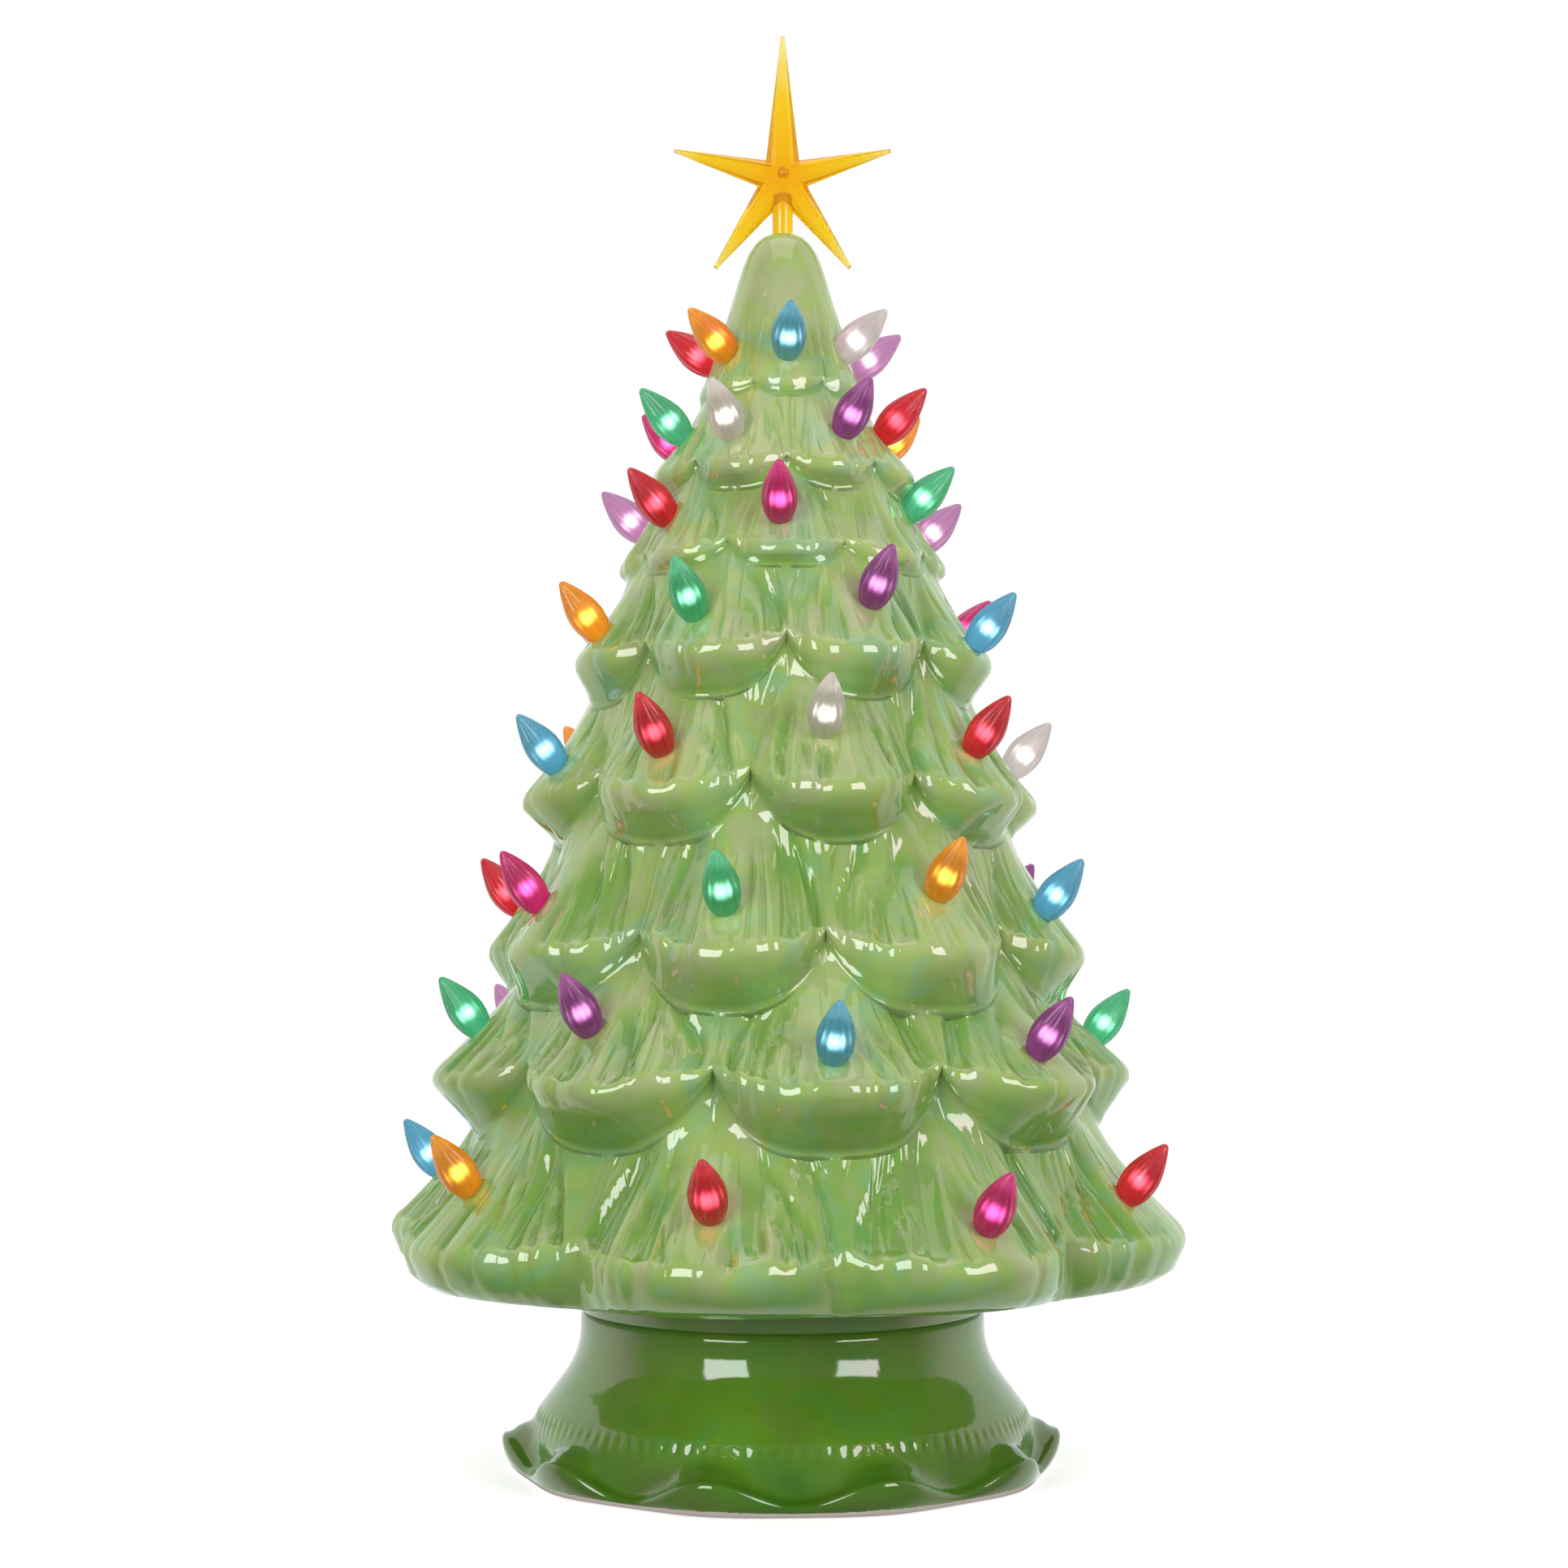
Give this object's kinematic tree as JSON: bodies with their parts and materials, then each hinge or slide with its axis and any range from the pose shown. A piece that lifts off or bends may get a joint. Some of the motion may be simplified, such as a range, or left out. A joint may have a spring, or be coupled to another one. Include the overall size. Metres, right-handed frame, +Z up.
{
  "type": "ceramic christmas tree",
  "caption": "Table-top tree of glazed ceramic with tiers of carved boughs, push-in plastic bulbs, a star on its peg and a ruffled base that holds a battery lamp.",
  "frame": {"origin": "centre of the base's foot, on the surface that it stands on", "axes": "+Z up along the tree's axis; -Y is the front, the side that the picture shows; +X to its right"},
  "size_m": [0.2144, 0.2152, 0.394],
  "materials": {
    "tree_glaze": "pearl-lustre glaze over sage and leaf green, glossy",
    "base_glaze": "pearl-lustre leaf green glaze, glossy, bare at the foot",
    "star_plastic": "clear amber moulding, polished facets",
    "bulb_red": "translucent, fluted, polished",
    "bulb_magenta": "translucent, fluted, polished",
    "bulb_purple": "translucent, fluted, polished",
    "bulb_lilac": "translucent, fluted, polished",
    "bulb_orange": "translucent, fluted, polished",
    "bulb_blue": "translucent, fluted, polished",
    "bulb_green": "translucent, fluted, polished",
    "bulb_clear": "translucent, fluted, polished",
    "housing_plastic": "white moulding, fine texture",
    "collar_rubber": "soft black, matt",
    "door_plastic": "white moulding, fine texture",
    "cell_jacket": "printed film jacket, satin",
    "contact_steel": "nickel-plated spring steel",
    "board_laminate": "white solder mask, satin",
    "screw_steel": "zinc plated",
    "diode_epoxy": "clear epoxy with a pale yellow chip",
    "dome_plastic": "frosted translucent white",
    "switch_plastic": "black moulding",
    "slider_plastic": "black moulding, ribbed by use",
    "terminal_brass": "tinned brass",
    "lead_red": "soft vinyl sleeve",
    "lead_black": "soft vinyl sleeve"
  },
  "bodies": {
    "base": {"battery_1": "cell_jacket", "battery_2": "cell_jacket", "battery_3": "cell_jacket", "board_screws": "screw_steel", "contact_bridge_back": "contact_steel", "contact_bridge_front": "contact_steel", "contact_negative": "contact_steel", "contact_positive": "contact_steel", "diffuser_dome": "dome_plastic", "lamp_housing": "housing_plastic", "lead_negative": "lead_black", "lead_positive": "lead_red", "lead_switch": "lead_red", "led_1": "diode_epoxy", "led_2": "diode_epoxy", "led_3": "diode_epoxy", "led_4": "diode_epoxy", "led_5": "diode_epoxy", "led_board": "board_laminate", "pedestal_base": "base_glaze", "rubber_collar": "collar_rubber", "switch_body": "switch_plastic", "switch_screws": "screw_steel", "switch_terminals": "terminal_brass"},
    "tree": {"tree_shell": "tree_glaze", "bulbs_blue": "bulb_blue", "bulbs_clear": "bulb_clear", "bulbs_green": "bulb_green", "bulbs_lilac": "bulb_lilac", "bulbs_magenta": "bulb_magenta", "bulbs_orange": "bulb_orange", "bulbs_purple": "bulb_purple", "bulbs_red": "bulb_red"},
    "star": {"star_topper": "star_plastic"},
    "slider": {"switch_slider": "slider_plastic"},
    "door": {"battery_door": "door_plastic"}
  },
  "joints": [
    {"name": "tree_lift", "type": "slide", "parent": "base", "child": "tree", "axis": [0, 0, 1], "range_m": [0, 0.08]},
    {"name": "star_pull", "type": "slide", "parent": "tree", "child": "star", "axis": [0, 0, 1], "range_m": [0, 0.03]},
    {"name": "switch_slide", "type": "slide", "parent": "base", "child": "slider", "axis": [0, 1, 0], "range_m": [0, 0.004]},
    {"name": "battery_door_hinge", "type": "hinge", "parent": "base", "child": "door", "pos_m": [0, -0.0335, 0.006], "axis": [-1, 0, 0], "range_deg": [0, 100]}
  ]
}
